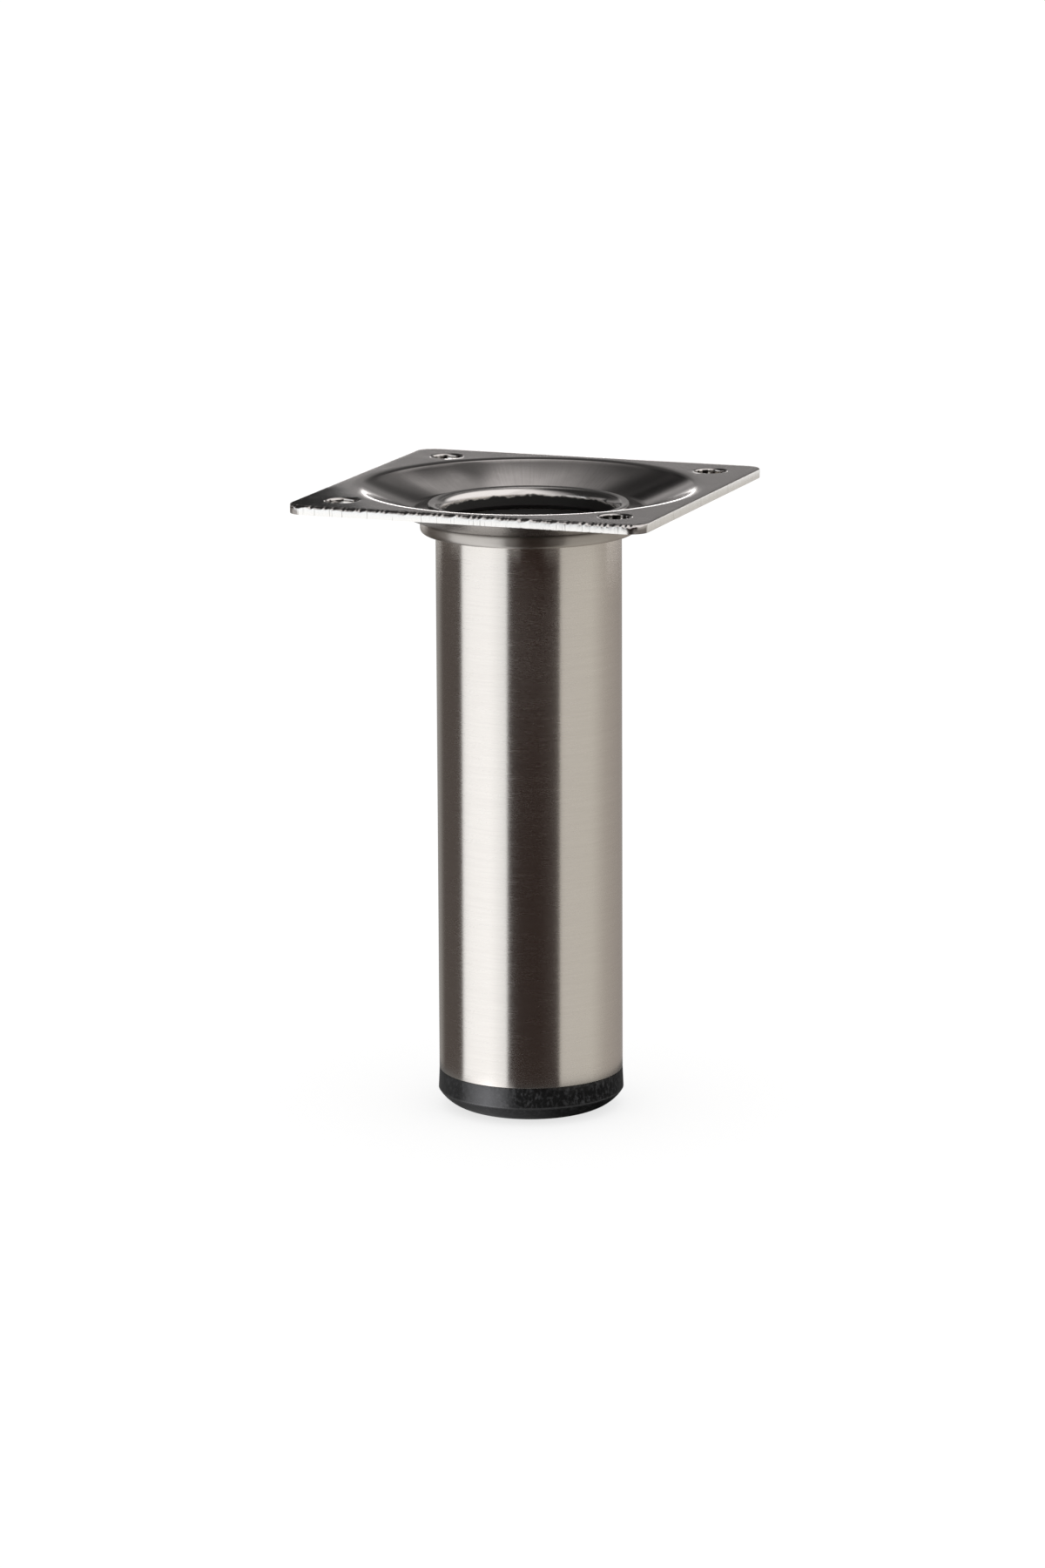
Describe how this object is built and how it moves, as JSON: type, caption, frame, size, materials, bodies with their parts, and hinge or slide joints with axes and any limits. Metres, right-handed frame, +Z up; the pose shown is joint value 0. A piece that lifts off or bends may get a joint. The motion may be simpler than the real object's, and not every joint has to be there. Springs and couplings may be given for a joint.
{
  "type": "furniture leg",
  "caption": "Short round furniture leg: brushed steel tube with a dished square screw-on plate rolled onto its top and a black push-in plastic foot below.",
  "frame": {"origin": "middle of the foot's flat underside, on the floor", "axes": "+Z up along the tube towards the mounting plate, X and Y along the plate's sides"},
  "size_m": [0.06, 0.06, 0.1025],
  "materials": {
    "polished_nickel": "bright nickel plating over pressed steel",
    "brushed_nickel": "brushed round the tube",
    "black_plastic": "satin moulded"
  },
  "bodies": {
    "root": {"mounting_plate": "polished_nickel", "leg_tube": "brushed_nickel", "foot_cap": "black_plastic"}
  },
  "joints": []
}
